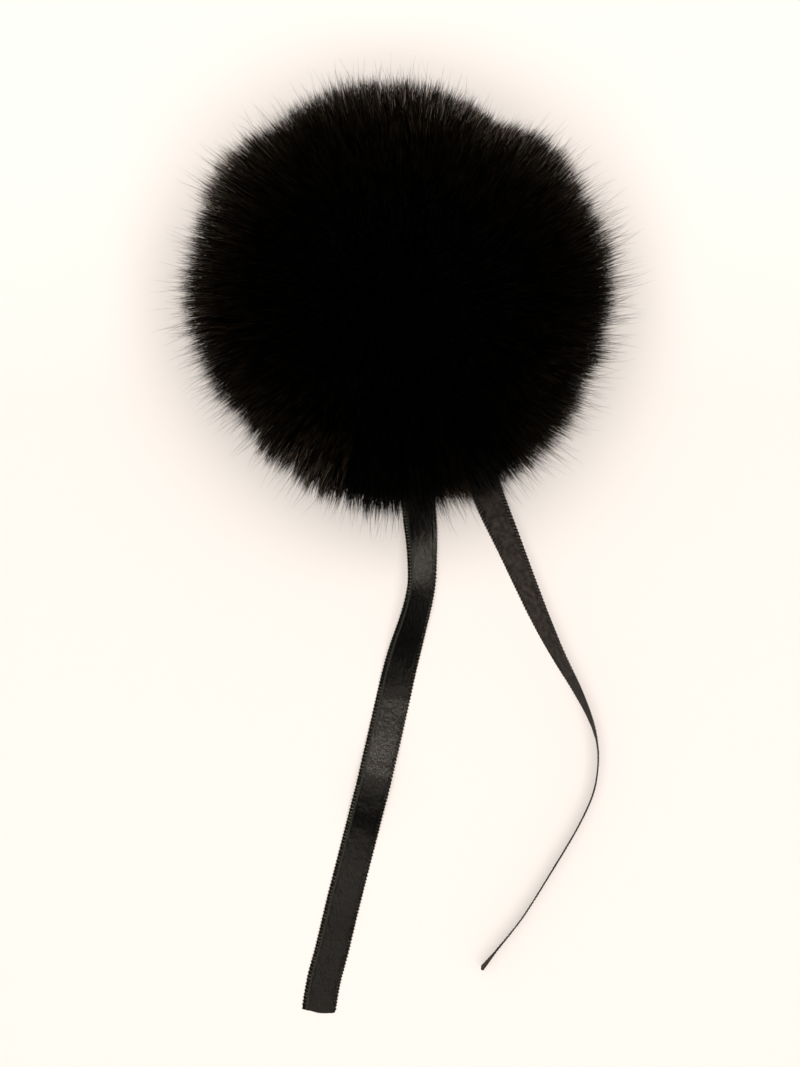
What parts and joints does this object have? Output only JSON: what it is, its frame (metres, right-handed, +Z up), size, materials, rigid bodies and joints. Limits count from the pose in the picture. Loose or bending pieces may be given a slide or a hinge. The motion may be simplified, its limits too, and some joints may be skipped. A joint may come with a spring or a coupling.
{
  "type": "fur pom pom with two ribbon tails",
  "caption": "Black long-hair fur pom pom, a round ball of fluffy locks, lying with two narrow satin ribbon tails that run out from under it to their cut ends.",
  "frame": {"origin": "the fur ball's middle foot, on the surface that it rests on, straight below the ball's middle", "axes": "+Z up from the surface; -Y the way the two ribbon tails run; +X to the right seen from above with the tails towards the viewer"},
  "size_m": [0.1303, 0.2769, 0.1183],
  "materials": {
    "fur": "deep black long-hair fur, soft, with a faint brownish-grey shine at its rim",
    "satin_ribbon": "black satin with a soft shine, and a narrow woven edge with tiny olive-brown loops"
  },
  "bodies": {
    "root": {"fur_ball": "fur", "ribbon_left": "satin_ribbon", "ribbon_right": "satin_ribbon"}
  },
  "joints": []
}
